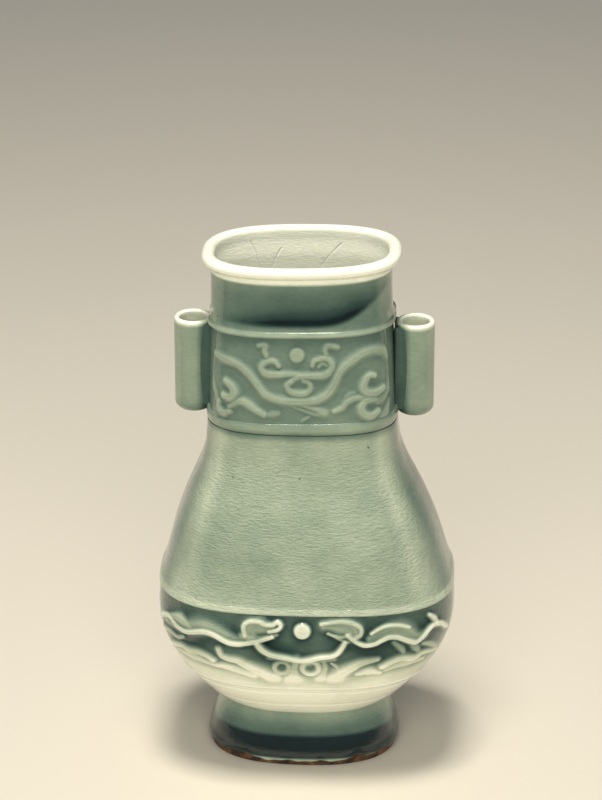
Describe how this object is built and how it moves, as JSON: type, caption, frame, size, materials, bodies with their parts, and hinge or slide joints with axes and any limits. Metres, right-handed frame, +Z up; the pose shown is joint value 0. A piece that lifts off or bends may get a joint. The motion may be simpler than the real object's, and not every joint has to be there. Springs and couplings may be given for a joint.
{
  "type": "vase",
  "caption": "Flattened green-glazed vase with a rolled mouth, two open tubular lugs on the neck, moulded relief bands and a flared foot.",
  "frame": {"origin": "middle of the foot's bottom edge, on the surface that the vase stands on", "axes": "+Z up; the broad front faces -Y; the lugs are at +X and -X"},
  "size_m": [0.1508, 0.1108, 0.272],
  "materials": {
    "green_glaze": "glossy green glaze over grey stoneware",
    "thin_glaze": "glossy thin glaze, paler where the body shows through"
  },
  "bodies": {
    "root": {"foot_ring": "green_glaze", "base_disc": "green_glaze", "lower_body": "green_glaze", "upper_body": "green_glaze", "neck_collar": "green_glaze", "mouth_collar": "green_glaze", "mouth_rim": "thin_glaze", "lip_bead": "thin_glaze", "neck_ridge_upper": "thin_glaze", "neck_ridge_lower": "green_glaze", "belly_ridge": "thin_glaze", "bowl_ridge": "thin_glaze", "left_lug": "thin_glaze", "right_lug": "thin_glaze", "left_lug_fillet": "green_glaze", "right_lug_fillet": "green_glaze", "neck_panel_front": "green_glaze", "neck_panel_back": "green_glaze", "neck_scrolls_front": "thin_glaze", "neck_scrolls_back": "thin_glaze", "neck_pearls": "thin_glaze", "belly_panel_front": "green_glaze", "belly_panel_back": "green_glaze", "belly_scrolls_front": "thin_glaze", "belly_scrolls_back": "thin_glaze", "belly_clouds_front": "thin_glaze", "belly_clouds_back": "thin_glaze", "belly_pearls": "thin_glaze"}
  },
  "joints": []
}
